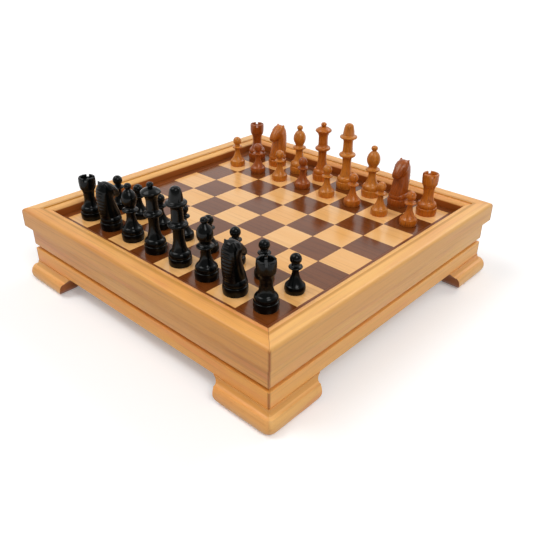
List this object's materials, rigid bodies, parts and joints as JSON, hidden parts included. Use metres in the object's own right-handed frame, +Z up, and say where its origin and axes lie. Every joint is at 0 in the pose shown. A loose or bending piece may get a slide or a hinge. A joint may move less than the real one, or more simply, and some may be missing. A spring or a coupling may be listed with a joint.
{
  "type": "games compendium box",
  "caption": "Wooden games box on bracket feet with a lift-out chess and backgammon board, chessmen set up on it, and draughts, dice cups and dice in the compartments below.",
  "frame": {"origin": "centre of the box at the level of the feet's undersides", "axes": "+Z up; -Y is the dark men's side and +Y the light men's; the a-file is at +X"},
  "size_m": [0.3228, 0.3228, 0.1315],
  "materials": {
    "frame_wood": "satin varnish",
    "inner_wood": "plain",
    "board_panel": "plain",
    "pale_veneer": "gloss varnish",
    "dark_veneer": "gloss varnish",
    "brown_veneer": "gloss varnish",
    "red_veneer": "gloss varnish",
    "plum_veneer": "gloss varnish",
    "light_man_stain": "satin varnish",
    "dark_man_lacquer": "gloss lacquer",
    "light_draught": "satin varnish",
    "dark_draught": "satin lacquer",
    "cup_leather": "smooth",
    "cup_lining": "plain",
    "cream_plastic": "polished",
    "maroon_plastic": "polished"
  },
  "bodies": {
    "box": {"board_ledge_strips": "inner_wood", "bottom_panel": "inner_wood", "cap_rails": "frame_wood", "compartment_dividers": "inner_wood", "cream_dice": "cream_plastic", "dark_draughts": "dark_draught", "dice_cup_left": "cup_leather", "dice_cup_linings": "cup_lining", "dice_cup_right": "cup_leather", "doubling_cube": "cream_plastic", "foot_back_left": "frame_wood", "foot_back_right": "frame_wood", "foot_front_left": "frame_wood", "foot_front_right": "frame_wood", "foot_glue_blocks": "inner_wood", "light_draughts": "light_draught", "lower_side_rails": "frame_wood", "maroon_dice": "maroon_plastic", "upper_side_rails": "frame_wood"},
    "board": {"board_core": "board_panel", "board_border": "brown_veneer", "light_squares": "pale_veneer", "dark_squares": "dark_veneer", "backgammon_field": "pale_veneer", "red_points": "red_veneer", "plum_points": "plum_veneer", "backgammon_bar": "frame_wood"},
    "dark_bishop_c": {"dark_bishop_c": "dark_man_lacquer"},
    "dark_bishop_f": {"dark_bishop_f": "dark_man_lacquer"},
    "dark_king_d": {"dark_king_d": "dark_man_lacquer"},
    "dark_knight_b": {"dark_knight_b": "dark_man_lacquer"},
    "dark_knight_g": {"dark_knight_g": "dark_man_lacquer"},
    "dark_pawn_a": {"dark_pawn_a": "dark_man_lacquer"},
    "dark_pawn_b": {"dark_pawn_b": "dark_man_lacquer"},
    "dark_pawn_c": {"dark_pawn_c": "dark_man_lacquer"},
    "dark_pawn_d": {"dark_pawn_d": "dark_man_lacquer"},
    "dark_pawn_e": {"dark_pawn_e": "dark_man_lacquer"},
    "dark_pawn_f": {"dark_pawn_f": "dark_man_lacquer"},
    "dark_pawn_g": {"dark_pawn_g": "dark_man_lacquer"},
    "dark_pawn_h": {"dark_pawn_h": "dark_man_lacquer"},
    "dark_queen_e": {"dark_queen_e": "dark_man_lacquer"},
    "dark_rook_a": {"dark_rook_a": "dark_man_lacquer"},
    "dark_rook_h": {"dark_rook_h": "dark_man_lacquer"},
    "light_bishop_c": {"light_bishop_c": "light_man_stain"},
    "light_bishop_f": {"light_bishop_f": "light_man_stain"},
    "light_king_d": {"light_king_d": "light_man_stain"},
    "light_knight_b": {"light_knight_b": "light_man_stain"},
    "light_knight_g": {"light_knight_g": "light_man_stain"},
    "light_pawn_a": {"light_pawn_a": "light_man_stain"},
    "light_pawn_b": {"light_pawn_b": "light_man_stain"},
    "light_pawn_c": {"light_pawn_c": "light_man_stain"},
    "light_pawn_d": {"light_pawn_d": "light_man_stain"},
    "light_pawn_e": {"light_pawn_e": "light_man_stain"},
    "light_pawn_f": {"light_pawn_f": "light_man_stain"},
    "light_pawn_g": {"light_pawn_g": "light_man_stain"},
    "light_pawn_h": {"light_pawn_h": "light_man_stain"},
    "light_queen_e": {"light_queen_e": "light_man_stain"},
    "light_rook_a": {"light_rook_a": "light_man_stain"},
    "light_rook_h": {"light_rook_h": "light_man_stain"}
  },
  "joints": [
    {"name": "board_lift", "type": "slide", "parent": "box", "child": "board", "axis": [0, 0, 1], "range_m": [0, 0.12]},
    {"name": "dark_bishop_c_lift", "type": "slide", "parent": "board", "child": "dark_bishop_c", "axis": [0, 0, 1], "range_m": [0, 0.08]},
    {"name": "dark_bishop_f_lift", "type": "slide", "parent": "board", "child": "dark_bishop_f", "axis": [0, 0, 1], "range_m": [0, 0.08]},
    {"name": "dark_king_d_lift", "type": "slide", "parent": "board", "child": "dark_king_d", "axis": [0, 0, 1], "range_m": [0, 0.08]},
    {"name": "dark_knight_b_lift", "type": "slide", "parent": "board", "child": "dark_knight_b", "axis": [0, 0, 1], "range_m": [0, 0.08]},
    {"name": "dark_knight_g_lift", "type": "slide", "parent": "board", "child": "dark_knight_g", "axis": [0, 0, 1], "range_m": [0, 0.08]},
    {"name": "dark_pawn_a_lift", "type": "slide", "parent": "board", "child": "dark_pawn_a", "axis": [0, 0, 1], "range_m": [0, 0.08]},
    {"name": "dark_pawn_b_lift", "type": "slide", "parent": "board", "child": "dark_pawn_b", "axis": [0, 0, 1], "range_m": [0, 0.08]},
    {"name": "dark_pawn_c_lift", "type": "slide", "parent": "board", "child": "dark_pawn_c", "axis": [0, 0, 1], "range_m": [0, 0.08]},
    {"name": "dark_pawn_d_lift", "type": "slide", "parent": "board", "child": "dark_pawn_d", "axis": [0, 0, 1], "range_m": [0, 0.08]},
    {"name": "dark_pawn_e_lift", "type": "slide", "parent": "board", "child": "dark_pawn_e", "axis": [0, 0, 1], "range_m": [0, 0.08]},
    {"name": "dark_pawn_f_lift", "type": "slide", "parent": "board", "child": "dark_pawn_f", "axis": [0, 0, 1], "range_m": [0, 0.08]},
    {"name": "dark_pawn_g_lift", "type": "slide", "parent": "board", "child": "dark_pawn_g", "axis": [0, 0, 1], "range_m": [0, 0.08]},
    {"name": "dark_pawn_h_lift", "type": "slide", "parent": "board", "child": "dark_pawn_h", "axis": [0, 0, 1], "range_m": [0, 0.08]},
    {"name": "dark_queen_e_lift", "type": "slide", "parent": "board", "child": "dark_queen_e", "axis": [0, 0, 1], "range_m": [0, 0.08]},
    {"name": "dark_rook_a_lift", "type": "slide", "parent": "board", "child": "dark_rook_a", "axis": [0, 0, 1], "range_m": [0, 0.08]},
    {"name": "dark_rook_h_lift", "type": "slide", "parent": "board", "child": "dark_rook_h", "axis": [0, 0, 1], "range_m": [0, 0.08]},
    {"name": "light_bishop_c_lift", "type": "slide", "parent": "board", "child": "light_bishop_c", "axis": [0, 0, 1], "range_m": [0, 0.08]},
    {"name": "light_bishop_f_lift", "type": "slide", "parent": "board", "child": "light_bishop_f", "axis": [0, 0, 1], "range_m": [0, 0.08]},
    {"name": "light_king_d_lift", "type": "slide", "parent": "board", "child": "light_king_d", "axis": [0, 0, 1], "range_m": [0, 0.08]},
    {"name": "light_knight_b_lift", "type": "slide", "parent": "board", "child": "light_knight_b", "axis": [0, 0, 1], "range_m": [0, 0.08]},
    {"name": "light_knight_g_lift", "type": "slide", "parent": "board", "child": "light_knight_g", "axis": [0, 0, 1], "range_m": [0, 0.08]},
    {"name": "light_pawn_a_lift", "type": "slide", "parent": "board", "child": "light_pawn_a", "axis": [0, 0, 1], "range_m": [0, 0.08]},
    {"name": "light_pawn_b_lift", "type": "slide", "parent": "board", "child": "light_pawn_b", "axis": [0, 0, 1], "range_m": [0, 0.08]},
    {"name": "light_pawn_c_lift", "type": "slide", "parent": "board", "child": "light_pawn_c", "axis": [0, 0, 1], "range_m": [0, 0.08]},
    {"name": "light_pawn_d_lift", "type": "slide", "parent": "board", "child": "light_pawn_d", "axis": [0, 0, 1], "range_m": [0, 0.08]},
    {"name": "light_pawn_e_lift", "type": "slide", "parent": "board", "child": "light_pawn_e", "axis": [0, 0, 1], "range_m": [0, 0.08]},
    {"name": "light_pawn_f_lift", "type": "slide", "parent": "board", "child": "light_pawn_f", "axis": [0, 0, 1], "range_m": [0, 0.08]},
    {"name": "light_pawn_g_lift", "type": "slide", "parent": "board", "child": "light_pawn_g", "axis": [0, 0, 1], "range_m": [0, 0.08]},
    {"name": "light_pawn_h_lift", "type": "slide", "parent": "board", "child": "light_pawn_h", "axis": [0, 0, 1], "range_m": [0, 0.08]},
    {"name": "light_queen_e_lift", "type": "slide", "parent": "board", "child": "light_queen_e", "axis": [0, 0, 1], "range_m": [0, 0.08]},
    {"name": "light_rook_a_lift", "type": "slide", "parent": "board", "child": "light_rook_a", "axis": [0, 0, 1], "range_m": [0, 0.08]},
    {"name": "light_rook_h_lift", "type": "slide", "parent": "board", "child": "light_rook_h", "axis": [0, 0, 1], "range_m": [0, 0.08]}
  ]
}
